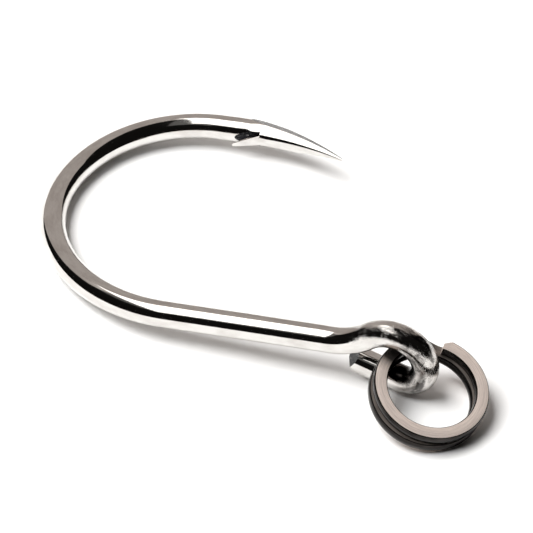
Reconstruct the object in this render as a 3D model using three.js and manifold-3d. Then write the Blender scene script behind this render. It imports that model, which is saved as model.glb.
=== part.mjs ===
// A big-game fish hook with a split ring through its eye, lying on its side as on a table.
// The hook is one steel wire: ground to a point, its barb cut free and raised, clipped to
// length, and only then bent round, with an eye closed in a plane across the bend. The split
// ring is a second, flattened wire wound twice round. Both are made here in that order: a
// straight blank is shaped first, and each of its points is then carried along the bent line.
// Millimetres. +X runs along the shank towards the eye, +Y across to the point, +Z up.
import * as THREE from 'three';
import { mergeVertices } from 'three/addons/utils/BufferGeometryUtils.js';
import Module from 'manifold-3d';

// Hook wire
const wireDiameter = 3.2;
const wireSides = 24;

// Bends of the hook, from the point to the shank
const pointRadius = 35.0;
const pointAngle = 24.5;
const pointStraight = 1.9;
const frontRadius = 15.9;
const backRadius = 16.9;
const heelRadius = 19.4;
const bendAngle = 60.0;

// Shank, and the small bend that sets the eye a little to one side
const shankLength = 19.0;
const setRadius = 10.0;
const setAngle = 3.4;

// Eye: a rise out of the shank, the arch over its opening, and the tight turn that closes it,
// tilted so that the clipped end of the wire passes the neck on the side of the point
const neckRadius = 8.6;
const neckAngle = 38.0;
const eyeOpening = 5.0;
const archAngle = 141.0;
const throatOpening = 1.8;
const throatAngle = 89.5;
const throatTilt = 6.0;
const tailLength = 5.5;

// Ground point: four flats that run out to a blunt tip, their corners eased by flatter ones
const grindLength = 13.1;
const tipHalfWidth = 0.13;
const easeLength = 12.0;
const easeSlope = 3.7;

// Barb: a sliver of the ground face, cut free on the inner side and raised with its tip to the
// bend, over the shallow cut that it leaves
const barbRootFromPoint = 11.4;
const barbTipFromPoint = 14.65;
const barbStandout = 1.5;
const barbTipWidth = 0.92;
const barbRootThickness = 0.3;
const barbTipThickness = 0.12;
const barbCutDepth = 0.5;
const barbCutEnd = 14.2;

// Clipped end of the wire, two bevels that meet in an edge away from its middle
const clipLongSlope = 30.0;
const clipShortSlope = 58.0;
const clipEdgeOffset = 0.5;

// Split ring: flattened wire in two coils, the lower one slipped a little sideways
const ringInnerDiameter = 10.25;
const ringWireWidth = 1.65;
const ringWireHeight = 1.22;
const ringFlatWidth = 1.25;
const ringWallRound = 0.4;
const ringCoilGap = 0.06;
const ringCoilSlip = 0.4;
const ringCutAngle = 118.5;
const ringJogAngle = 34.0;
const ringEndGap = 4.0;
const ringCutsPerTurn = 48;

// How the two lie on the table: the hook leans over a little, and the ring droops from the eye
const sideLean = 0.556;
const ringHeading = -26.3;
const ringRoll = 3.9;
const ringSag = 0.15;
const ringFloorGap = 0.1;

const rad = THREE.MathUtils.degToRad;
const wireRadius = wireDiameter / 2;
const archRadius = eyeOpening / 2 + wireRadius;
const throatRadius = throatOpening / 2 + wireRadius;
const ringRadius = (ringInnerDiameter + ringWireWidth) / 2;

// The line of a bent wire, as a wire former reads it: straight runs and bends in order. Each
// step holds its frame at its start, where X heads along the wire, Y is its side and Z its up.
class BentWire {
  constructor(steps) {
    this.steps = {};
    this.length = 0;
    const frame = new THREE.Matrix4();
    for (const [name, shape] of Object.entries(steps)) {
      const { run = 0, radius = 0, angle = 0, about = 'z', tilt = 0, cuts } = shape;
      const length = radius ? radius * Math.abs(rad(angle)) : run;
      const tilted = new THREE.Matrix4().makeRotationX(rad(tilt));
      const step = { start: this.length, length, radius, turn: rad(angle), about, tilted, cuts, frame: frame.clone() };
      this.steps[name] = step;
      frame.multiply(this.along(step, length));
      this.length += length;
    }
  }

  // The move from a step's start to a distance along it. The plane of a bend is tilted about
  // the wire without a twist in the wire.
  along({ radius, turn, about, tilted, length }, distance) {
    if (!radius) return new THREE.Matrix4().makeTranslation(distance, 0, 0);
    const angle = turn * distance / length;
    const inward = Math.sign(turn) * radius * (1 - Math.cos(angle));
    const ahead = radius * Math.sin(Math.abs(angle));
    const bend = new THREE.Matrix4();
    if (about === 'z') bend.makeRotationZ(angle).setPosition(ahead, inward, 0);
    else bend.makeRotationY(angle).setPosition(ahead, 0, -inward);
    return bend.premultiply(tilted).multiply(tilted.clone().invert());
  }

  // Where the wire is and heads at a distance from its tip, seen from a home frame
  frameAt(distance, home) {
    const steps = Object.values(this.steps);
    const step = steps.findLast(({ start }) => start <= distance) ?? steps[0];
    const frame = step.frame.clone().multiply(this.along(step, distance - step.start));
    return frame.premultiply(home.clone().invert());
  }

  placeAt(distance, home) {
    return new THREE.Vector3().setFromMatrixPosition(this.frameAt(distance, home));
  }

  // Distances along the wire at which the mesh needs a row of points
  rows() {
    const rows = Object.values(this.steps).flatMap(({ start, length, cuts }) =>
      Array.from({ length: cuts }, (_, i) => start + length * i / cuts));
    return [...rows, this.length];
  }
}

const wasm = await Module();
wasm.setup();

// A closed mesh as a solid that can be cut
function toSolid(geometry) {
  const bare = geometry.clone();
  bare.deleteAttribute('normal');
  bare.deleteAttribute('uv');
  const merged = mergeVertices(bare, 1e-5);
  const mesh = new wasm.Mesh({
    numProp: 3,
    vertProperties: new Float32Array(merged.attributes.position.array),
    triVerts: new Uint32Array(merged.index.array),
  });
  return new wasm.Manifold(mesh);
}

function toGeometry(solid) {
  const mesh = solid.getMesh();
  const geometry = new THREE.BufferGeometry();
  geometry.setAttribute('position', new THREE.BufferAttribute(new Float32Array(mesh.vertProperties), 3));
  geometry.setIndex(new THREE.BufferAttribute(new Uint32Array(mesh.triVerts), 1));
  return geometry;
}

// Moves every point of a mesh by a function of its place
function moveEach(geometry, move) {
  const places = geometry.attributes.position;
  const point = new THREE.Vector3();
  for (let i = 0; i < places.count; i += 1) {
    point.fromBufferAttribute(places, i);
    move(point);
    places.setXYZ(i, point.x, point.y, point.z);
  }
  return geometry;
}

const hookLine = new BentWire({
  point: { radius: pointRadius, angle: pointAngle, cuts: 12 },
  lead: { run: pointStraight, cuts: 1 },
  front: { radius: frontRadius, angle: bendAngle, cuts: 9 },
  back: { radius: backRadius, angle: bendAngle, cuts: 9 },
  heel: { radius: heelRadius, angle: bendAngle, cuts: 9 },
  shank: { run: shankLength, cuts: 3 },
  set: { radius: setRadius, angle: -setAngle, cuts: 1 },
  neck: { radius: neckRadius, angle: -neckAngle, about: 'y', cuts: 5 },
  arch: { radius: archRadius, angle: archAngle, about: 'y', cuts: 15 },
  throat: { radius: throatRadius, angle: throatAngle, about: 'y', tilt: throatTilt, cuts: 10 },
  tail: { run: tailLength, cuts: 2 },
});
const shankHome = hookLine.steps.shank.frame;

// Half the width of the ground point between opposite flats, which the wire soon outgrows
function flatAt(distance) {
  return tipHalfWidth + (wireRadius - tipHalfWidth) * distance / grindLength;
}

// The straight blank lies along +X from its tip. Four flats narrow it towards the tip, and the
// round of the wire is left standing between them, eased back, until they meet in corners.
function groundBlank() {
  const rows = hookLine.rows();
  const blank = new THREE.CylinderGeometry(1, 1, 1, wireSides, rows.length - 1);
  return moveEach(blank, (point) => {
    const distance = rows[Math.round((point.y + 0.5) * (rows.length - 1))];
    const away = Math.hypot(point.x, point.z);
    const angle = Math.atan2(point.x, point.z);
    const facing = Math.max(Math.abs(Math.cos(angle)), Math.abs(Math.sin(angle)));
    const eased = wireRadius - Math.max(0, easeLength - distance) * Math.tan(rad(easeSlope));
    const corner = Math.cos(Math.acos(facing) - Math.PI / 4);
    const reach = away * Math.min(wireRadius, flatAt(distance) / facing, eased / corner);
    point.set(distance, -reach * Math.sin(angle), reach * Math.cos(angle));
  });
}

// An outline in the plane of the bend, made as deep as asked across it. The inner side of the
// hook is +Y on the blank.
function acrossBend(corners, depth) {
  const outline = new THREE.Shape(corners.map(([distance, height]) => new THREE.Vector2(distance, height)));
  const block = new THREE.ExtrudeGeometry(outline, { depth, bevelEnabled: false });
  return block.translate(0, 0, -depth / 2);
}

// The cut under the barb, deepest at the barb's root
function barbCut() {
  return acrossBend([
    [barbRootFromPoint, wireRadius - barbCutDepth],
    [barbCutEnd, wireRadius],
    [barbCutEnd, wireDiameter],
    [barbRootFromPoint, wireDiameter],
  ], 2 * wireDiameter);
}

// The raised sliver, as wide at its root as the ground face there and narrower at its tip
function barbSliver() {
  const face = flatAt(barbRootFromPoint);
  const tip = wireRadius + barbStandout;
  const buried = barbRootFromPoint - barbRootThickness;
  const sliver = acrossBend([
    [barbRootFromPoint, face],
    [barbTipFromPoint, tip],
    [barbTipFromPoint, tip - barbTipThickness],
    [barbRootFromPoint + barbRootThickness, face - barbRootThickness],
    [buried, face - barbRootThickness],
    [buried, face - barbRootThickness / 2],
  ], 1);
  const rootWidth = 2 * Math.sqrt(wireRadius ** 2 - face ** 2);
  return moveEach(sliver, (point) => {
    const along = (point.x - barbRootFromPoint) / (barbTipFromPoint - barbRootFromPoint);
    point.z *= THREE.MathUtils.lerp(rootWidth, barbTipWidth, Math.max(0, along));
  });
}

// A block that bevels the wire's end. Its face meets the axis of the wire at a slope and cuts
// the end at the edge, and the metal that it takes away lies on the one or other side of it.
function clipBlock(slope, side) {
  const size = 3 * wireDiameter;
  const block = new THREE.BoxGeometry(size, size, size);
  block.translate(size / 2, 0, 0);
  block.rotateY(-side * (Math.PI / 2 - rad(slope)));
  return block.translate(hookLine.length, 0, -clipEdgeOffset);
}

function makeHook() {
  const cuts = [barbCut(), clipBlock(clipLongSlope, 1), clipBlock(clipShortSlope, -1)];
  const shaped = cuts.reduce((solid, cut) => solid.subtract(toSolid(cut)), toSolid(groundBlank()));
  return moveEach(toGeometry(shaped.add(toSolid(barbSliver()))), (point) => {
    const { x, y, z } = point;
    point.set(0, y, z).applyMatrix4(hookLine.frameAt(x, shankHome));
  });
}

// The section of the ring's wire: flat above and below, with rounded walls
function ringSection() {
  const wall = ringWireWidth / 2;
  const flat = ringFlatWidth / 2;
  const top = ringWireHeight / 2;
  const corner = top - ringWallRound;
  const section = new THREE.Shape();
  section.moveTo(wall, -corner);
  section.lineTo(wall, corner);
  section.absellipse(flat, corner, wall - flat, ringWallRound, 0, Math.PI / 2);
  section.lineTo(-flat, top);
  section.absellipse(-flat, corner, wall - flat, ringWallRound, Math.PI / 2, Math.PI);
  section.lineTo(-wall, -corner);
  section.absellipse(-flat, -corner, wall - flat, ringWallRound, Math.PI, 1.5 * Math.PI);
  section.lineTo(flat, -top);
  section.absellipse(flat, -corner, wall - flat, ringWallRound, 1.5 * Math.PI, 2 * Math.PI);
  return section;
}

// The straight wire is wound clockwise from the cut end of the upper coil, round to a jog that
// dives under that end, and on as the lower coil until it meets the start of the jog again.
// The ring's middle lies at +X, and the spot where it hangs in the eye is the origin.
function makeRing() {
  const wound = 720 - ringJogAngle - ringEndGap;
  const steps = Math.round(ringCutsPerTurn * wound / 360);
  const wire = new THREE.ExtrudeGeometry(ringSection(), { depth: wound, steps, curveSegments: 2, bevelEnabled: false });
  const level = (ringWireHeight + ringCoilGap) / 2;
  return moveEach(wire, (point) => {
    const { x, y, z } = point;
    const lowered = THREE.MathUtils.smoothstep(z, 360 - ringJogAngle, 360);
    const angle = rad(ringCutAngle - z);
    const reach = ringRadius + x;
    const slipped = -ringCoilSlip * lowered;
    const height = y + level * (1 - 2 * lowered);
    point.set(ringRadius + reach * Math.cos(angle), slipped + reach * Math.sin(angle), height);
  });
}

// The middle of the eye's opening, farthest from the wire all round. A point starts in the
// middle of the arch and walks in its plane, away from the nearest wire, with ever shorter steps.
function middleOfEye() {
  const { neck, arch } = hookLine.steps;
  const home = arch.frame.clone().multiply(arch.tilted);
  const spacing = wireRadius / 16;
  const count = Math.floor((hookLine.length - neck.start) / spacing);
  const places = Array.from({ length: count }, (_, i) => hookLine.placeAt(neck.start + i * spacing, home));
  const middle = new THREE.Vector3(0, 0, -archRadius);
  for (let step = wireRadius / 4; step > wireRadius / 2000; step *= 0.97) {
    const nearest = places.reduce((a, b) => (b.distanceTo(middle) < a.distanceTo(middle) ? b : a));
    middle.add(middle.clone().sub(nearest).setY(0).setLength(step));
  }
  return middle.applyMatrix4(home).applyMatrix4(shankHome.clone().invert());
}

// How far the shank rises towards the eye when the hook lies on the eye's lowest turn and on
// the back of its bend, whose middle is a little lower for the lean to the side
function shankRise() {
  const places = hookLine.rows().map((distance) => hookLine.placeAt(distance, shankHome));
  const back = places.reduce((a, b) => (b.x < a.x ? b : a));
  const fall = back.y * Math.tan(rad(sideLean));
  return Math.max(...places.map(({ x, z }) => Math.atan2(-z - fall, x - back.x)));
}

// The droop at which the ring's far side just clears the table, hung at a height above it
function ringDroop(height) {
  const far = 2 * ringRadius + ringFlatWidth / 2;
  const below = ringWireHeight + ringCoilGap / 2 - ringWallRound;
  const drop = height - ringWallRound - ringFloorGap;
  return Math.asin(drop / Math.hypot(far, below)) - Math.atan2(below, far);
}

const mirrorNickel = new THREE.MeshStandardMaterial({ color: 0xd4d2cf, roughness: 0.07, metalness: 1 });
const satinSteel = new THREE.MeshStandardMaterial({ color: 0xb4a79f, roughness: 0.34, metalness: 1 });

const hook = new THREE.Mesh(makeHook(), mirrorNickel);
hook.name = 'hook';
const lyingHook = new THREE.Group();
lyingHook.add(hook);
lyingHook.rotation.set(-rad(sideLean), -shankRise(), 0);
lyingHook.updateMatrixWorld(true);

const ring = new THREE.Mesh(makeRing(), satinSteel);
ring.name = 'split_ring';
const table = new THREE.Box3().setFromObject(lyingHook, true).min.z;
const seat = middleOfEye().sub(new THREE.Vector3(0, 0, ringSag));
ring.position.copy(lyingHook.localToWorld(seat));
ring.rotation.set(rad(ringRoll), ringDroop(ring.position.z - table), rad(ringHeading), 'ZYX');

// The origin is on the table, under the middle of the whole
const fishHook = new THREE.Group();
fishHook.add(lyingHook, ring);
const whole = new THREE.Box3().setFromObject(fishHook, true);
const middle = whole.getCenter(new THREE.Vector3());
fishHook.position.set(-middle.x, -middle.y, -whole.min.z);
export default fishHook;
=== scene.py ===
"""A bright big-game fish hook with a split ring through its eye, lying on its side on white.

Both pieces are wire, and both are made as wire is: a straight blank is shaped on the bench,
and each of its points is then carried along the bent line. Bench sizes are millimetres, and
the finished meshes are in metres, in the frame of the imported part.
"""

import logging
import math
from dataclasses import dataclass, field
from enum import Enum
from typing import Callable

import bpy
import numpy as np
from mathutils import Matrix, Vector

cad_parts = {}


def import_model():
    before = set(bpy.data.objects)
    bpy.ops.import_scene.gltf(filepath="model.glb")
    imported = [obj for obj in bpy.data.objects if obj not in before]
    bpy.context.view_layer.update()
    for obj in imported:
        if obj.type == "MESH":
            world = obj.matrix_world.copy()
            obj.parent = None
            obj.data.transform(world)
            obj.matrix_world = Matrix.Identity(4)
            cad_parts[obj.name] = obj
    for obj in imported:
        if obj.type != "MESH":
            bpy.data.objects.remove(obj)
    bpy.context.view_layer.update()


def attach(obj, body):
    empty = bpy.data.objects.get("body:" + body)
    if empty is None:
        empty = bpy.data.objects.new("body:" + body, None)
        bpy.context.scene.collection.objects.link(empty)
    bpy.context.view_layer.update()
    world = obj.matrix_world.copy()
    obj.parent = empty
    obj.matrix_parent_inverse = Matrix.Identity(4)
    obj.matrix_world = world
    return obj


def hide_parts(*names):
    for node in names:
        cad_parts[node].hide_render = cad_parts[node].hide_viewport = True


log = logging.getLogger("fish_hook")

MILLIMETRE = 0.001
BENCH = "bench"

Pair = tuple[float, float]
Triple = tuple[float, float, float]

# The share of an edge's length that lies along the wire, past which it counts as lengthwise.
LENGTHWISE = 0.9

# The cosine between two normals, past which two faces count as one.
SAME_WAY = 0.999

# How near to a cutting plane a point counts as being on it, in millimetres.
ON_PLANE = 1e-5

# Nearly all values of a noise lie between these two.
NOISE_SPAN: Pair = (0.3, 0.7)

# The place on a ramp of colours where the dark stop ends and bare metal starts; the dark stop is
# painted shade, and on the hook's eye also smudges.
BARE = 0.5


class Turn(Enum):
    """The way a step of the wire turns: not at all, across the hook, or up and down."""

    STRAIGHT = "straight"
    SIDEWAYS = "sideways"
    UPRIGHT = "upright"


@dataclass(frozen=True)
class Step:
    """One straight run or bend of a wire, as a wire former reads it, in millimetres and degrees."""

    length: float = 0.0
    radius: float = 0.0
    angle: float = 0.0
    turn: Turn = Turn.STRAIGHT
    tilt: float = 0.0

    @property
    def reach(self) -> float:
        """Length of wire in this step."""
        if self.turn is Turn.STRAIGHT:
            return self.length
        return self.radius * math.radians(abs(self.angle))

    def carry(self, points: np.ndarray) -> np.ndarray:
        """Bends points of the straight blank along this step.

        Args:
            points: Rows of distance along the step, side and height.

        Returns:
            The same points in the frame of the step's start.
        """
        if self.turn is Turn.STRAIGHT:
            return points.copy()
        tilt = math.radians(self.tilt)
        side = points[:, 1] * math.cos(tilt) + points[:, 2] * math.sin(tilt)
        height = points[:, 2] * math.cos(tilt) - points[:, 1] * math.sin(tilt)
        angle = math.radians(self.angle) * points[:, 0] / self.reach
        ahead = self.radius * np.sin(np.abs(angle))
        inward = math.copysign(self.radius, self.angle) * (1 - np.cos(angle))
        if self.turn is Turn.SIDEWAYS:
            ahead, side = ahead - side * np.sin(angle), inward + side * np.cos(angle)
        else:
            ahead, height = ahead + height * np.sin(angle), height * np.cos(angle) - inward
        return np.column_stack([
            ahead,
            side * math.cos(tilt) - height * math.sin(tilt),
            side * math.sin(tilt) + height * math.cos(tilt),
        ])

    def end(self) -> np.ndarray:
        """The frame at this step's end, seen from its start, as a 4 by 4 matrix."""
        ends = np.array([[self.reach, 0, 0], [self.reach, 1, 0], [self.reach, 0, 1]], float)
        place, side, height = self.carry(ends)
        frame = np.eye(4)
        frame[:3, 1] = side - place
        frame[:3, 2] = height - place
        frame[:3, 0] = np.cross(frame[:3, 1], frame[:3, 2])
        frame[:3, 3] = place
        return frame


class BentLine:
    """The whole line of a bent wire, seen from the start of one of its steps."""

    def __init__(self, steps: dict[str, Step], home: str) -> None:
        """Lays the steps end to end.

        Args:
            steps: The steps by name, in order from the wire's first end.
            home: The step whose start the line is seen from.
        """
        self.steps = steps
        self.starts: dict[str, float] = {}
        frames: dict[str, np.ndarray] = {}
        self.length = 0.0
        frame = np.eye(4)
        for name, step in steps.items():
            self.starts[name] = self.length
            frames[name] = frame
            frame = frame @ step.end()
            self.length += step.reach
        back = np.linalg.inv(frames[home])
        self.frames = {name: back @ at for name, at in frames.items()}

    def carry(self, points: np.ndarray) -> np.ndarray:
        """Carries points of the straight blank along the whole line.

        Args:
            points: Rows of distance along the wire, side and height.

        Returns:
            The carried points, seen from the home step's start.
        """
        carried = np.zeros_like(points)
        names = list(self.steps)
        for i, name in enumerate(names):
            low = -math.inf if i == 0 else self.starts[name]
            high = math.inf if i == len(names) - 1 else self.starts[names[i + 1]]
            here = (points[:, 0] >= low) & (points[:, 0] < high)
            local = points[here] - [self.starts[name], 0, 0]
            frame = self.frames[name]
            carried[here] = self.steps[name].carry(local) @ frame[:3, :3].T + frame[:3, 3]
        return carried


class Bench:
    """Bench work on one mesh: adding blanks, choosing edges, cutting, joining and smoothing."""

    @staticmethod
    def clear() -> None:
        """Deselects everything, so that an operator acts on the new work only."""
        bpy.ops.object.select_all(action="DESELECT")

    @staticmethod
    def hold(piece: bpy.types.Object) -> None:
        """Makes one piece the only selected and the active one."""
        Bench.clear()
        piece.select_set(True)
        bpy.context.view_layer.objects.active = piece

    @staticmethod
    def open_all(piece: bpy.types.Object) -> None:
        """Opens edit mode with the whole piece selected."""
        Bench.hold(piece)
        bpy.ops.object.mode_set(mode="EDIT")
        bpy.ops.mesh.select_all(action="SELECT")

    @staticmethod
    def close() -> None:
        """Closes edit mode."""
        bpy.ops.object.mode_set(mode="OBJECT")

    @staticmethod
    def face_out(piece: bpy.types.Object) -> None:
        """Turns every face of the piece outwards."""
        Bench.open_all(piece)
        bpy.ops.mesh.normals_make_consistent(inside=False)
        Bench.close()

    @staticmethod
    def points(piece: bpy.types.Object) -> np.ndarray:
        """The piece's points as rows of three numbers."""
        flat = np.zeros(len(piece.data.vertices) * 3)
        piece.data.vertices.foreach_get("co", flat)
        return flat.reshape(-1, 3)

    @staticmethod
    def put(piece: bpy.types.Object, points: np.ndarray) -> None:
        """Sets the piece's points."""
        piece.data.vertices.foreach_set("co", points.ravel())
        piece.data.update()

    @staticmethod
    def choose_edges(piece: bpy.types.Object,
                     wanted: Callable[[np.ndarray, np.ndarray], bool]) -> None:
        """Selects the edges that a test accepts and opens edit mode on them.

        Args:
            piece: The mesh to work on.
            wanted: Takes an edge's two end points and says if it is chosen.
        """
        Bench.hold(piece)
        at = Bench.points(piece)
        mesh = piece.data
        mesh.polygons.foreach_set("select", np.zeros(len(mesh.polygons), bool))
        mesh.vertices.foreach_set("select", np.zeros(len(mesh.vertices), bool))
        picks = [wanted(at[e.vertices[0]], at[e.vertices[1]]) for e in mesh.edges]
        mesh.edges.foreach_set("select", np.array(picks, bool))
        bpy.context.tool_settings.mesh_select_mode = (False, True, False)
        bpy.ops.object.mode_set(mode="EDIT")

    @staticmethod
    def slice_along(piece: bpy.types.Object, cuts: int, rounds: int) -> None:
        """Cuts every lengthwise edge into equal parts, as many times over as asked.

        Args:
            piece: A blank that lies along X.
            cuts: Cuts in each edge in one round.
            rounds: How many times the edges are cut.
        """
        for _ in range(rounds):
            Bench.choose_edges(
                piece, lambda a, b: abs(a[0] - b[0]) > LENGTHWISE * float(np.linalg.norm(a - b)))
            bpy.ops.mesh.subdivide(number_cuts=cuts)
            Bench.close()

    @staticmethod
    def saw(piece: bpy.types.Object, place: Vector, facing: Vector) -> None:
        """Cuts the piece with a plane, takes away what lies beyond it and closes the cut.

        Args:
            piece: The mesh to cut.
            place: A point of the plane.
            facing: The plane's normal, towards the metal taken away.
        """
        Bench.open_all(piece)
        bpy.ops.mesh.bisect(
            plane_co=place, plane_no=facing, use_fill=True, clear_outer=True, threshold=ON_PLANE)
        Bench.close()

    @staticmethod
    def prism(outline: list[Pair], depth: float) -> bpy.types.Object:
        """Makes a solid from an outline in the plane of the bend, evenly deep on both sides of it.

        Args:
            outline: Corners as distance along the wire and height above its middle.
            depth: Depth across the bend.

        Returns:
            The solid, as an object of its own.
        """
        Bench.clear()
        bpy.ops.mesh.primitive_circle_add(vertices=len(outline), radius=1, fill_type="NGON")
        solid = bpy.context.active_object
        Bench.put(solid, np.array([[x, y, -depth / 2] for x, y in outline]))
        Bench.open_all(solid)
        bpy.ops.mesh.extrude_region_move(TRANSFORM_OT_translate={"value": (0, 0, depth)})
        Bench.close()
        Bench.face_out(solid)
        return solid

    @staticmethod
    def fit(piece: bpy.types.Object, tool: bpy.types.Object, operation: str) -> None:
        """Joins a solid to the piece or cuts it out of the piece, and clears the solid away.

        Args:
            piece: The mesh that is kept.
            tool: The solid that is used up.
            operation: UNION or DIFFERENCE.
        """
        Bench.hold(piece)
        change = piece.modifiers.new("fit", "BOOLEAN")
        change.operation = operation
        change.solver = "EXACT"
        change.object = tool
        bpy.ops.object.modifier_apply(modifier=change.name)
        bpy.data.objects.remove(tool)

    @staticmethod
    def remember_bench(piece: bpy.types.Object) -> None:
        """Keeps each point's place on the straight blank, which the finishes' patterns follow."""
        kept = piece.data.attributes.new(BENCH, "FLOAT_VECTOR", "POINT")
        kept.data.foreach_set("vector", Bench.points(piece).astype(np.float32).ravel())

    @staticmethod
    def smooth(piece: bpy.types.Object, angle: float) -> None:
        """Shades the piece smooth, but for edges sharper than an angle in degrees."""
        Bench.hold(piece)
        bpy.ops.object.shade_smooth_by_angle(angle=math.radians(angle))


@dataclass(frozen=True)
class Grain:
    """Noise that follows the wire, with its grains to a millimetre along and across it."""

    along: float
    across: float
    octaves: float
    roughness: float = 0.6


@dataclass(frozen=True)
class Stretch:
    """A stretch of the straight wire, in millimetres, that fades in and out at its ends."""

    start: float
    end: float
    fade: float


class Mix:
    """A material's nodes, added and joined in plain steps."""

    def __init__(self, name: str) -> None:
        """Starts a material with an empty shader.

        Args:
            name: The material's name.
        """
        self.material = bpy.data.materials.new(name)
        self.material.use_nodes = True
        self.nodes = self.material.node_tree.nodes
        self.links = self.material.node_tree.links
        self.shader = self.nodes["Principled BSDF"]

    def add(self, kind: str, **values: object) -> bpy.types.Node:
        """Adds a node.

        Args:
            kind: The node's type.
            **values: Settings of the node, or values of its sockets.

        Returns:
            The node.
        """
        node = self.nodes.new(kind)
        for name, value in values.items():
            if hasattr(node, name):
                setattr(node, name, value)
            else:
                node.inputs[name.replace("_", " ").title()].default_value = value
        return node

    def join(self, source: bpy.types.NodeSocket, target: bpy.types.NodeSocket) -> None:
        """Joins an output to an input."""
        self.links.new(source, target)

    def fix(self, **values: float) -> None:
        """Sets constants of the shader, such as Metallic and Roughness."""
        for name, value in values.items():
            self.shader.inputs[name].default_value = value

    def bench_place(self) -> bpy.types.NodeSocket:
        """The place on the straight blank, in millimetres."""
        return self.add("ShaderNodeAttribute", attribute_name=BENCH).outputs["Vector"]

    def along(self, axis: str) -> bpy.types.NodeSocket:
        """One coordinate of the place on the straight blank: X, Y or Z."""
        parts = self.add("ShaderNodeSeparateXYZ")
        self.join(self.bench_place(), parts.inputs["Vector"])
        return parts.outputs[axis]

    def noise(self, grain: Grain) -> bpy.types.NodeSocket:
        """The value of a noise that follows the wire."""
        mapping = self.add("ShaderNodeMapping", Scale=(grain.along, grain.across, grain.across))
        noise = self.add(
            "ShaderNodeTexNoise", Scale=1.0, Detail=grain.octaves, Roughness=grain.roughness)
        self.join(self.bench_place(), mapping.inputs["Vector"])
        self.join(mapping.outputs["Vector"], noise.inputs["Vector"])
        return noise.outputs["Fac"]

    def spread(self, value: bpy.types.NodeSocket, old: Pair = (0, 1),
               new: Pair = (0, 1)) -> bpy.types.NodeSocket:
        """Maps a value from one range to another and keeps it within the new one.

        Args:
            value: The value to map.
            old: The range that it comes from.
            new: The range that it is mapped to.

        Returns:
            The mapped value.
        """
        ranged = self.add(
            "ShaderNodeMapRange", From_Min=old[0], From_Max=old[1], To_Min=new[0], To_Max=new[1])
        self.join(value, ranged.inputs["Value"])
        return ranged.outputs["Result"]

    def without(self, mask: bpy.types.NodeSocket) -> bpy.types.NodeSocket:
        """The mask turned round: one where it was none, and none where it was one."""
        return self.spread(mask, new=(1, 0))

    def reckon(self, operation: str, first: bpy.types.NodeSocket,
               second: bpy.types.NodeSocket) -> bpy.types.NodeSocket:
        """Works out one value from two.

        Args:
            operation: MULTIPLY or ADD.
            first: The first value.
            second: The second value.

        Returns:
            The result.
        """
        result = self.add("ShaderNodeMath", operation=operation)
        self.join(first, result.inputs[0])
        self.join(second, result.inputs[1])
        return result.outputs[0]

    def times(self, first: bpy.types.NodeSocket,
              second: bpy.types.NodeSocket) -> bpy.types.NodeSocket:
        """Multiplies two values."""
        return self.reckon("MULTIPLY", first, second)

    def plus(self, first: bpy.types.NodeSocket,
             second: bpy.types.NodeSocket) -> bpy.types.NodeSocket:
        """Adds two values."""
        return self.reckon("ADD", first, second)

    def window(self, stretch: Stretch) -> bpy.types.NodeSocket:
        """A mask that is one along a stretch of the wire and none outside it."""
        place = self.along("X")
        rising = self.spread(place, (stretch.start, stretch.start + stretch.fade))
        falling = self.spread(place, (stretch.end - stretch.fade, stretch.end), (1, 0))
        return self.times(rising, falling)

    def below(self, heights: Pair) -> bpy.types.NodeSocket:
        """A mask that is one on the lower side of the straight wire and none on the upper one.

        Args:
            heights: Where the mask starts to rise and where it is full, in millimetres above
                the wire's middle.

        Returns:
            The mask.
        """
        return self.spread(self.along("Z"), heights)

    def colours(self, value: bpy.types.NodeSocket, stops: list[tuple[float, Triple]]) -> None:
        """Colours the metal by a value.

        Args:
            value: The value, from 0 to 1.
            stops: Places on the ramp, from 0 to 1, each with its colour.
        """
        ramp = self.add("ShaderNodeValToRGB").color_ramp
        while len(ramp.elements) < len(stops):
            ramp.elements.new(0.5)
        for element, (place, colour) in zip(ramp.elements, stops):
            element.position = place
            element.color = (*colour, 1)
        node = self.nodes[-1]
        self.join(value, node.inputs["Fac"])
        self.join(node.outputs["Color"], self.shader.inputs["Base Color"])

    def bump(self, layers: list[tuple[bpy.types.NodeSocket, float]]) -> None:
        """Raises and lowers the surface.

        Args:
            layers: Values from 0 to 1, each with the height in millimetres that one stands for.
        """
        below = None
        for height, depth in layers:
            raised = self.add("ShaderNodeBump", Strength=1.0, Distance=depth * MILLIMETRE)
            self.join(height, raised.inputs["Height"])
            if below is not None:
                self.join(below, raised.inputs["Normal"])
            below = raised.outputs["Normal"]
        self.join(below, self.shader.inputs["Normal"])


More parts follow.
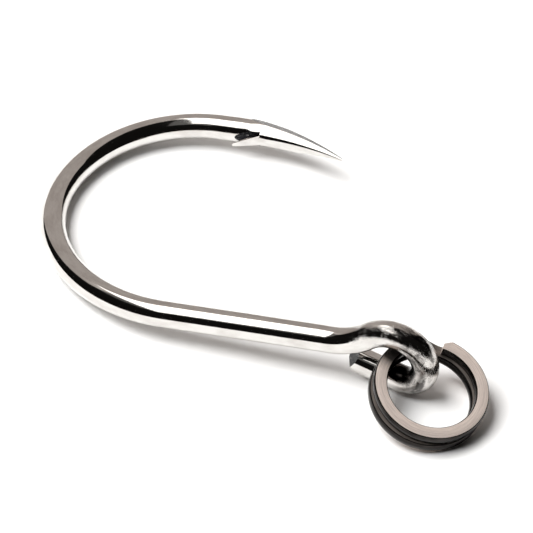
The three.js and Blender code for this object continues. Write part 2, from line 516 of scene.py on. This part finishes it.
@dataclass(frozen=True)
class BrightPlating:
    """Mirror-bright plating on hard wire, dented where the eye was bent, with smudges and painted
    dark reflections on the eye and painted shade in its hollow.
    """

    tone: Triple = (0.76, 0.745, 0.72)
    dull_tone: Triple = (0.64, 0.615, 0.59)
    # Near-black tone for painted shade in the eye's hollow, and for smudges that also paint dark
    # reflections on the eye.
    smudge_and_shade: Triple = (0.03, 0.027, 0.025)
    polish: float = 0.06
    smudge: float = 0.12
    scuffed: float = 0.30
    bent_eye: Stretch = Stretch(94.0, 112.0, 3.0)
    # Where smudges and painted dark reflections lie on the eye, and where painted shade fills its
    # hollow on the wire's lower side.
    smudged_shaded_eye: Stretch = Stretch(99.0, 112.0, 3.0)
    shaded_hollow: Stretch = Stretch(99.0, 114.0, 2.0)
    shaded_hollow_heights: Pair = (-0.35, -1.05)
    clouds: Grain = Grain(0.35, 0.9, 4.0)
    cloud_span: Pair = (0.35, 0.6)
    smudges_and_shade: Grain = Grain(0.6, 1.1, 5.0, 0.7)
    smudge_and_shade_span: Pair = (0.40, 0.56)
    smudge_and_shade_cover: float = 0.85
    scuffs: Grain = Grain(1.3, 2.6, 6.0, 0.7)
    scuff_span: Pair = (0.52, 0.66)
    wipes: Grain = Grain(1.5, 4.0, 5.0)
    wipe_span: Pair = (0.4, 0.7)
    drawn: Grain = Grain(0.4, 9.0, 3.0)
    drawn_depth: float = 0.0012
    dents: Grain = Grain(2.4, 2.4, 5.0, 0.65)
    dent_depth: float = 0.024
    pits: Grain = Grain(9.0, 9.0, 3.0)
    pit_depth: float = 0.02

    def material(self) -> bpy.types.Material:
        """The finished material."""
        mix = Mix("bright_plating")
        mix.fix(Metallic=1.0)
        cloudy = mix.spread(mix.noise(self.clouds), self.cloud_span, (BARE, 1))
        # Smudges on the eye that also paint the dark reflection of the shaded table, and painted
        # shade in the eye's hollow.
        smudges_and_shade = mix.spread(mix.noise(self.smudges_and_shade), self.smudge_and_shade_span, (0, self.smudge_and_shade_cover))
        smudged_and_shaded = mix.times(mix.window(self.smudged_shaded_eye), smudges_and_shade)
        shaded_hollow = mix.times(mix.window(self.shaded_hollow), mix.below(self.shaded_hollow_heights))
        clean = mix.times(mix.without(smudged_and_shaded), mix.without(shaded_hollow))
        mix.colours(mix.times(cloudy, clean), [
            (0, self.smudge_and_shade), (BARE, self.dull_tone), (1, self.tone)])
        near_eye = mix.window(self.bent_eye)
        worn = mix.times(near_eye, mix.spread(mix.noise(self.scuffs), self.scuff_span))
        plain = mix.spread(mix.noise(self.wipes), self.wipe_span, (self.polish, self.smudge))
        rough = mix.spread(worn, new=(0, self.scuffed - self.smudge))
        mix.join(mix.plus(plain, rough), mix.shader.inputs["Roughness"])
        dents = mix.times(near_eye, mix.noise(self.dents))
        pits = mix.times(worn, mix.noise(self.pits))
        mix.bump([
            (mix.noise(self.drawn), self.drawn_depth), (dents, self.dent_depth),
            (pits, self.pit_depth)])
        return mix.material


@dataclass(frozen=True)
class ShadedCutSteel:
    """Steel where it was cut, clipped or ground, glossy with bright flecks; its near-black tone
    paints the shade in the barb's notch and the dark reflections of the clipped end and the outer
    ground flat.
    """

    name: str = "shaded_cut_steel"
    bright: Triple = (0.75, 0.74, 0.73)
    light: Triple = (0.045, 0.044, 0.045)
    dark: Triple = (0.006, 0.006, 0.008)
    dark_to: float = 0.45
    light_at: float = 0.62
    bright_from: float = 0.68
    roughness: float = 0.16
    torn: Grain = Grain(1.6, 3.2, 5.0, 0.7)
    torn_depth: float = 0.12

    def material(self) -> bpy.types.Material:
        """The finished material."""
        mix = Mix(self.name)
        mix.fix(Metallic=1.0, Roughness=self.roughness)
        torn = mix.noise(self.torn)
        mix.colours(torn, [
            (self.dark_to, self.dark), (self.light_at, self.light),
            (self.bright_from, self.bright)])
        mix.bump([(torn, self.torn_depth)])
        return mix.material


@dataclass(frozen=True)
class SatinFlat:
    """The brushed flat of the ring's wire, with a fine grain along the wire, and painted shade
    where it runs under the hook's eye.
    """

    name: str = "satin_flat"
    light: Triple = (0.93, 0.81, 0.74)
    dark: Triple = (0.64, 0.545, 0.49)
    # Painted shade: the flat darkens to this near-black where it runs under the hook's eye.
    eye_shade: Triple = (0.05, 0.043, 0.04)
    shaded_in_eye: Stretch = Stretch(28.0, 36.0, 1.8)
    metallic: float = 0.52
    smooth: float = 0.32
    coarse: float = 0.46
    brushed: Grain = Grain(0.45, 14.0, 5.0, 0.7)
    brushed_span: Pair = (0.35, 0.65)
    brushed_depth: float = 0.006
    scratches: Grain = Grain(3.0, 9.0, 4.0)
    scratch_depth: float = 0.003

    def material(self) -> bpy.types.Material:
        """The finished material."""
        mix = Mix(self.name)
        mix.fix(Metallic=self.metallic)
        brushed = mix.noise(self.brushed)
        clean = mix.spread(brushed, self.brushed_span, (BARE, 1))
        # Painted shade along the stretch under the hook's eye.
        shown = mix.times(clean, mix.without(mix.window(self.shaded_in_eye)))
        mix.colours(shown, [(0, self.eye_shade), (BARE, self.dark), (1, self.light)])
        rough = mix.spread(brushed, NOISE_SPAN, (self.coarse, self.smooth))
        mix.join(rough, mix.shader.inputs["Roughness"])
        mix.bump([(brushed, self.brushed_depth), (mix.noise(self.scratches), self.scratch_depth)])
        return mix.material


@dataclass(frozen=True)
class ShadedWall:
    """The rolled wall of the ring's wire, glossy with a drawn grain; its near-black tone is painted
    shade, standing in for the dark reflections the walls show.
    """

    # Painted shade: near-black tones that stand in for the walls' dark reflections.
    light: Triple = (0.05, 0.045, 0.042)
    dark: Triple = (0.007, 0.006, 0.006)
    dark_to: float = 0.35
    light_from: float = 0.65
    smooth: float = 0.07
    coarse: float = 0.16
    drawn: Grain = Grain(0.6, 7.0, 5.0, 0.65)
    waves: Grain = Grain(2.0, 3.0, 4.0)
    grain_depth: float = 0.004

    def material(self) -> bpy.types.Material:
        """The finished material."""
        mix = Mix("shaded_wall")
        mix.fix(Metallic=1.0)
        drawn = mix.noise(self.drawn)
        mix.colours(drawn, [(self.dark_to, self.dark), (self.light_from, self.light)])
        rough = mix.spread(drawn, NOISE_SPAN, (self.smooth, self.coarse))
        mix.join(rough, mix.shader.inputs["Roughness"])
        mix.bump([(drawn, self.grain_depth), (mix.noise(self.waves), self.grain_depth)])
        return mix.material


# Bare ground steel on the point's outer flat, its tone darkened to paint the dark reflection that
# this flat shows.
SHADED_GROUND_STEEL = ShadedCutSteel(
    name="shaded_ground_steel", bright=(0.4, 0.39, 0.38), light=(0.24, 0.235, 0.23),
    dark=(0.09, 0.087, 0.085))
# Painted shade on the flats that face the other coil, between the coils.
SHADED_INNER_FLAT = SatinFlat(name="shaded_inner_flat", light=(0.26, 0.225, 0.20), dark=(0.09, 0.078, 0.07))


@dataclass(frozen=True)
class Flat:
    """One ground flat.

    It faces so many degrees from the top towards the inner side. Its depth is its distance from
    the wire's middle, as a share of the ground point's half width there.
    """

    facing: float
    depth: float

    def outward(self) -> Vector:
        """The way it faces, across the straight wire."""
        return Vector((0, math.sin(math.radians(self.facing)), math.cos(math.radians(self.facing))))


@dataclass(frozen=True)
class Clip:
    """One clipped face.

    Its slope is how far it faces from straight across the wire towards the wire's end, and its
    turn is about the wire, from the top, both in degrees.
    """

    slope: float
    turn: float

    def outward(self) -> Vector:
        """The way it faces, on the straight wire."""
        slope = math.radians(self.slope)
        upward = Vector((math.sin(slope), 0, math.cos(slope)))
        return Matrix.Rotation(math.radians(self.turn), 3, "X") @ upward


@dataclass
class Hook:
    """The hook: one wire, ground to a barbed point, bent round, with an eye at its other end."""

    wire_radius: float = 1.6
    sides: int = 128
    slice_cuts: int = 20
    grind_length: float = 13.1
    tip_half_width: float = 0.13
    ease_length: float = 12.0
    ease_slope: float = 3.7
    edge_on: float = 0.05
    flats: tuple[Flat, ...] = (
        Flat(30.0, 1.0), Flat(62.0, 1.12), Flat(98.0, 1.05), Flat(185.0, 1.1), Flat(262.0, 1.1))
    shaded_flat: Flat = Flat(332.0, 1.0)
    barb_root: float = 11.4
    barb_tip: float = 14.65
    barb_standout: float = 1.5
    barb_tip_width: float = 0.4
    barb_root_thickness: float = 0.3
    barb_tip_thickness: float = 0.12
    barb_cut_depth: float = 0.6
    barb_cut_end: float = 14.8
    clip_edge_offset: float = 0.3
    shaded_clip: Clip = Clip(54.0, 150.0)
    plated_clip: Clip = Clip(44.0, 38.0)
    clip_reach: float = 4.0
    clip_likeness: float = 0.99
    flat_likeness: float = 0.985
    sharp_from: float = 20.0
    lean: float = 0.556
    rise: float = 4.8723
    place: Triple = (-9.43823, -13.1104, 3.39659)
    line: BentLine = field(default_factory=lambda: BentLine({
        "point": Step(radius=35.0, angle=24.5, turn=Turn.SIDEWAYS),
        "lead": Step(length=1.9),
        "front": Step(radius=15.9, angle=60.0, turn=Turn.SIDEWAYS),
        "back": Step(radius=16.9, angle=60.0, turn=Turn.SIDEWAYS),
        "heel": Step(radius=19.4, angle=60.0, turn=Turn.SIDEWAYS),
        "shank": Step(length=19.0),
        "set": Step(radius=10.0, angle=-3.4, turn=Turn.SIDEWAYS),
        "neck": Step(radius=8.6, angle=-38.0, turn=Turn.UPRIGHT),
        "arch": Step(radius=4.1, angle=141.0, turn=Turn.UPRIGHT),
        "throat": Step(radius=2.5, angle=89.5, turn=Turn.UPRIGHT, tilt=6.0),
        "tail": Step(length=6.6),
    }, home="shank"))

    def flat_at(self, distance: np.ndarray | float) -> np.ndarray | float:
        """How far a ground flat lies from the wire's middle, at a distance from the tip."""
        growth = (self.wire_radius - self.tip_half_width) / self.grind_length
        return self.tip_half_width + growth * distance

    def blank(self) -> bpy.types.Object:
        """A straight round wire along X, from the point's tip, sliced finely enough to bend.

        Returns:
            The blank.
        """
        Bench.clear()
        bpy.ops.mesh.primitive_cylinder_add(
            vertices=self.sides, radius=self.wire_radius, depth=self.line.length,
            location=(self.line.length / 2, 0, 0), rotation=(0, math.pi / 2, 0))
        bpy.ops.object.transform_apply(location=True, rotation=True, scale=True)
        wire = bpy.context.active_object
        wire.name = "plated_hook"
        Bench.slice_along(wire, self.slice_cuts, 2)
        return wire

    def grind(self, wire: bpy.types.Object) -> None:
        """Grinds the flats towards the tip and eases the corners where they meet."""
        at = Bench.points(wire)
        angle = np.arctan2(at[:, 1], at[:, 2])
        eased = np.maximum(0, self.ease_length - at[:, 0]) * math.tan(math.radians(self.ease_slope))
        reach = self.wire_radius - eased
        for flat in (*self.flats, self.shaded_flat):
            slant = np.maximum(np.cos(angle - math.radians(flat.facing)), self.edge_on)
            reach = np.minimum(reach, flat.depth * self.flat_at(at[:, 0]) / slant)
        share = np.minimum(1.0, reach / self.wire_radius)
        at[:, 1] *= share
        at[:, 2] *= share
        Bench.put(wire, at)

    def raise_barb(self, wire: bpy.types.Object) -> None:
        """Cuts under the barb and raises its sliver of metal."""
        clear_of_wire = 2 * self.wire_radius
        cut = Bench.prism([
            (self.barb_root, self.wire_radius - self.barb_cut_depth),
            (self.barb_cut_end, self.wire_radius),
            (self.barb_cut_end, clear_of_wire),
            (self.barb_root, clear_of_wire),
        ], depth=2 * clear_of_wire)
        Bench.fit(wire, cut, "DIFFERENCE")
        face = float(self.flat_at(self.barb_root))
        tip = self.wire_radius + self.barb_standout
        buried = self.barb_root - self.barb_root_thickness
        sliver = Bench.prism([
            (self.barb_root, face),
            (self.barb_tip, tip),
            (self.barb_tip, tip - self.barb_tip_thickness),
            (self.barb_root + self.barb_root_thickness, face - self.barb_root_thickness),
            (buried, face - self.barb_root_thickness),
            (buried, face - self.barb_root_thickness / 2),
        ], depth=1)
        at = Bench.points(sliver)
        along = np.clip((at[:, 0] - self.barb_root) / (self.barb_tip - self.barb_root), 0, 1)
        root_width = 2 * math.sqrt(self.wire_radius ** 2 - face ** 2)
        at[:, 2] *= root_width + (self.barb_tip_width - root_width) * along
        Bench.put(sliver, at)
        Bench.fit(wire, sliver, "UNION")

    def clip_end(self, wire: bpy.types.Object) -> None:
        """Clips the wire's end with two faces, which meet in an edge a little above its middle."""
        edge = Vector((self.line.length, 0, self.clip_edge_offset))
        for clip in (self.shaded_clip, self.plated_clip):
            Bench.saw(wire, edge, clip.outward())

    def dress(self, wire: bpy.types.Object) -> None:
        """Plates the wire, and gives its cut, clipped and outer ground faces darker steel: painted
        shade in the barb's notch, and painted dark reflection on the clipped end and on the outer
        ground flat.
        """
        wire.data.materials.clear()
        for finish in (BrightPlating(), ShadedCutSteel(), SHADED_GROUND_STEEL):
            wire.data.materials.append(finish.material())
        plated, cut, shaded_ground = range(3)
        clipped = self.shaded_clip.outward()
        clip_start = self.line.length - self.clip_reach
        under = Vector((-self.barb_cut_depth, self.barb_cut_end - self.barb_root, 0)).normalized()
        coarse = self.shaded_flat.outward()
        for face in wire.data.polygons:
            along, facing = face.center.x, face.normal
            # Painted shade: the faces under the barb take the near-black cut steel.
            if self.barb_root <= along <= self.barb_cut_end and facing.dot(under) > SAME_WAY:
                face.material_index = cut
            # Painted dark reflection: the clipped end takes the near-black cut steel.
            elif along > clip_start and facing.dot(clipped) > self.clip_likeness:
                face.material_index = cut
            # Painted dark reflection: the outer ground flat takes the darkened ground steel.
            elif along < self.grind_length and facing.dot(coarse) > self.flat_likeness:
                face.material_index = shaded_ground
            else:
                face.material_index = plated

    def build(self) -> bpy.types.Object:
        """Makes the whole hook in its place.

        Returns:
            The finished hook.
        """
        wire = self.blank()
        self.grind(wire)
        self.raise_barb(wire)
        self.clip_end(wire)
        self.dress(wire)
        Bench.remember_bench(wire)
        carried = self.line.carry(Bench.points(wire))
        lie = (Matrix.Rotation(math.radians(-self.lean), 3, "X")
               @ Matrix.Rotation(math.radians(-self.rise), 3, "Y"))
        placed = carried @ np.array(lie).T + self.place
        Bench.put(wire, placed * MILLIMETRE)
        Bench.smooth(wire, self.sharp_from)
        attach(wire, "hook")
        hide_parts("hook")
        return wire


@dataclass
class SplitRing:
    """The split ring: flattened wire wound nearly twice round, its lower coil slipped a little."""

    inner_diameter: float = 10.25
    wire_width: float = 1.65
    wire_height: float = 1.22
    flat_width: float = 1.25
    wall_round: float = 0.58
    wall_segments: int = 8
    slice_cuts: int = 19
    coil_gap: float = 0.06
    coil_slip: float = 0.4
    cut_angle: float = 118.5
    jog_angle: float = 34.0
    end_gap: float = 4.0
    cut_corner: float = 1.0
    corner_facing: Pair = (-0.6, 0.8)
    upper_turn: float = 320.0
    flat_likeness: float = 0.995
    end_likeness: float = 0.5
    sharp_from: float = 28.0
    roll: float = 3.9
    droop: float = 16.8755
    heading: float = -26.3
    seat: Triple = (18.08363, -13.58591, 4.94929)

    @property
    def radius(self) -> float:
        """Radius of the ring to the middle of its wire."""
        return (self.inner_diameter + self.wire_width) / 2

    @property
    def wound(self) -> float:
        """How far the wire is wound, in degrees."""
        return 720 - self.jog_angle - self.end_gap

    def blank(self) -> bpy.types.Object:
        """A straight flattened wire along X, with rolled walls, sliced finely enough to wind.

        The walls are rounded on a squashed bar, so that its stretch to the full height makes
        each of them nearly half a circle.

        Returns:
            The blank.
        """
        Bench.clear()
        length = self.radius * math.radians(self.wound)
        bpy.ops.mesh.primitive_cube_add(size=1, location=(length / 2, 0, 0))
        wire = bpy.context.active_object
        wire.name = "wound_ring"
        wall_depth = (self.wire_width - self.flat_width) / 2
        squash = wall_depth / self.wall_round
        wire.scale = (length, self.wire_width, self.wire_height * squash)
        bpy.ops.object.transform_apply(location=True, rotation=True, scale=True)
        Bench.choose_edges(wire, lambda a, b: abs(a[0] - b[0]) > self.wire_width)
        bpy.ops.mesh.bevel(
            offset=wall_depth, segments=self.wall_segments, profile=0.5, affect="EDGES")
        bpy.ops.mesh.select_all(action="SELECT")
        bpy.ops.transform.resize(value=(1, 1, 1 / squash))
        Bench.close()
        Bench.slice_along(wire, self.slice_cuts, 2)
        corner = Vector((self.cut_corner, self.wire_width / 2, 0))
        Bench.saw(wire, corner, Vector((*self.corner_facing, 0)))
        return wire

    def dress(self, wire: bpy.types.Object) -> None:
        """Gives the walls a near-black tone of painted shade, makes the ring's outer flats satin,
        and gives those between the coils painted shade.
        """
        wire.data.materials.clear()
        for finish in (ShadedWall(), SatinFlat(), SHADED_INNER_FLAT):
            wire.data.materials.append(finish.material())
        wall, satin, shaded_inner = range(3)
        upper_coil = self.radius * math.radians(self.upper_turn)
        for face in wire.data.polygons:
            outer = (face.normal.z > 0) == (face.center.x < upper_coil)
            if abs(face.normal.z) > self.flat_likeness:
                # Flats facing the other coil get painted shade.
                face.material_index = satin if outer else shaded_inner
            elif abs(face.normal.x) > self.end_likeness:
                face.material_index = satin
            else:
                face.material_index = wall

    def wind(self, at: np.ndarray) -> np.ndarray:
        """Winds the straight wire into the two coils.

        Args:
            at: Points of the blank.

        Returns:
            The same points, with the spot where the ring hangs at the origin.
        """
        turned = np.degrees(at[:, 0] / self.radius)
        step = np.clip((turned - (360 - self.jog_angle)) / self.jog_angle, 0, 1)
        lowered = step * step * (3 - 2 * step)
        angle = np.radians(self.cut_angle - turned)
        reach = self.radius + at[:, 1]
        level = (self.wire_height + self.coil_gap) / 2
        return np.column_stack([
            self.radius + reach * np.cos(angle),
            reach * np.sin(angle) - self.coil_slip * lowered,
            at[:, 2] + level * (1 - 2 * lowered),
        ])

    def build(self) -> bpy.types.Object:
        """Makes the whole ring in its place.

        Returns:
            The finished ring.
        """
        wire = self.blank()
        self.dress(wire)
        Bench.remember_bench(wire)
        hang = (Matrix.Rotation(math.radians(self.heading), 3, "Z")
                @ Matrix.Rotation(math.radians(self.droop), 3, "Y")
                @ Matrix.Rotation(math.radians(self.roll), 3, "X"))
        placed = self.wind(Bench.points(wire)) @ np.array(hang).T + self.seat
        Bench.put(wire, placed * MILLIMETRE)
        Bench.face_out(wire)
        Bench.smooth(wire, self.sharp_from)
        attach(wire, "split_ring")
        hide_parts("split_ring")
        return wire


class Task(Enum):
    """What a panel of light is for."""

    LIGHT = "light"
    MIRROR = "mirror"
    BOTH = "both"


@dataclass(frozen=True)
class Panel:
    """A glowing panel that faces the object, in metres; a light of one is a table lit to white."""

    name: str
    middle: Triple
    size: Pair
    light: float
    tone: Triple
    task: Task

    def hang(self) -> None:
        """Hangs the panel."""
        Bench.clear()
        bpy.ops.object.light_add(type="AREA", location=self.middle)
        lamp = bpy.context.active_object
        lamp.name = self.name
        lamp.data.shape = "RECTANGLE"
        lamp.data.size, lamp.data.size_y = self.size
        lamp.data.energy = self.light * math.pi * self.size[0] * self.size[1]
        lamp.data.color = self.tone
        lamp.rotation_mode = "QUATERNION"
        lamp.rotation_quaternion = (-Vector(self.middle)).to_track_quat("-Z", "Y")
        lamp.visible_glossy = self.task is not Task.LIGHT
        lamp.visible_diffuse = self.task is not Task.MIRROR


@dataclass
class Studio:
    """A white table under a softbox and a key light, with a fill and a warm wall behind it."""

    table_size: float = 6.0
    table_white: Triple = (0.90, 0.90, 0.90)
    table_roughness: float = 0.7
    table_gloss: float = 0.1
    room_tone: Triple = (1.0, 0.93, 0.88)
    room_light: float = 0.006
    panels: tuple[Panel, ...] = (
        Panel("overhead_softbox", middle=(-0.23, -0.045, 0.62), size=(0.68, 0.24),
              light=2.0, tone=(1.0, 0.99, 0.97), task=Task.MIRROR),
        Panel("softbox_edge", middle=(-0.22, -0.12, 0.66), size=(0.90, 0.44),
              light=0.12, tone=(1.0, 0.97, 0.95), task=Task.MIRROR),
        Panel("key", middle=(-0.33, -0.10, 0.64), size=(0.48, 0.48),
              light=12.2, tone=(1.0, 0.995, 0.985), task=Task.LIGHT),
        Panel("back_fill", middle=(-0.10, 0.80, 0.45), size=(1.0, 0.60),
              light=0.9, tone=(1.0, 0.95, 0.91), task=Task.LIGHT),
        Panel("far_wall", middle=(-0.30, 0.92, 0.705), size=(2.6, 1.68),
              light=0.42, tone=(1.0, 0.90, 0.84), task=Task.BOTH),
    )

    def table(self) -> None:
        """Lays the plain white table."""
        Bench.clear()
        bpy.ops.mesh.primitive_plane_add(size=self.table_size, location=(0, 0, 0))
        table = bpy.context.active_object
        table.name = "table"
        mix = Mix("table_white")
        mix.fix(Roughness=self.table_roughness)
        mix.shader.inputs["Base Color"].default_value = (*self.table_white, 1)
        mix.shader.inputs["Specular IOR Level"].default_value = self.table_gloss
        table.data.materials.append(mix.material)

    def build(self) -> None:
        """Sets up the table, the panels of light and the dark room."""
        self.table()
        for panel in self.panels:
            panel.hang()
        world = bpy.data.worlds.new("dark_room")
        world.use_nodes = True
        sky = world.node_tree.nodes["Background"]
        sky.inputs["Color"].default_value = (*self.room_tone, 1)
        sky.inputs["Strength"].default_value = self.room_light
        bpy.context.scene.world = world


@dataclass
class Camera:
    """The photograph's camera, as found from the outlines of the hook and its ring."""

    place: Triple = (58.429, -225.756, 225.933)
    azimuth: float = 14.657
    elevation: float = 43.882
    roll: float = 1.556
    lens: float = 182.14
    sensor: float = 36.0
    clear_from: float = 0.01

    def build(self) -> None:
        """Sets the camera up and makes it the scene's own."""
        data = bpy.data.cameras.new("camera")
        data.lens = self.lens
        data.sensor_width = self.sensor
        data.clip_start = self.clear_from
        camera = bpy.data.objects.new("camera", data)
        bpy.context.scene.collection.objects.link(camera)
        turn = (Matrix.Rotation(math.radians(self.azimuth), 4, "Z")
                @ Matrix.Rotation(math.radians(90 - self.elevation), 4, "X")
                @ Matrix.Rotation(math.radians(self.roll), 4, "Z"))
        camera.matrix_world = Matrix.Translation(Vector(self.place) * MILLIMETRE) @ turn
        bpy.context.scene.camera = camera


def main() -> None:
    """Builds the pieces in order and reports each one."""
    logging.basicConfig(level=logging.INFO, format="%(message)s")
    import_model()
    bpy.context.scene.view_settings.view_transform = "Standard"
    for piece in (Hook().build(), SplitRing().build()):
        log.info("%s: %d faces", piece.name, len(piece.data.polygons))
    Studio().build()
    Camera().build()
    bpy.context.view_layer.update()


if __name__ == "__main__":
    main()
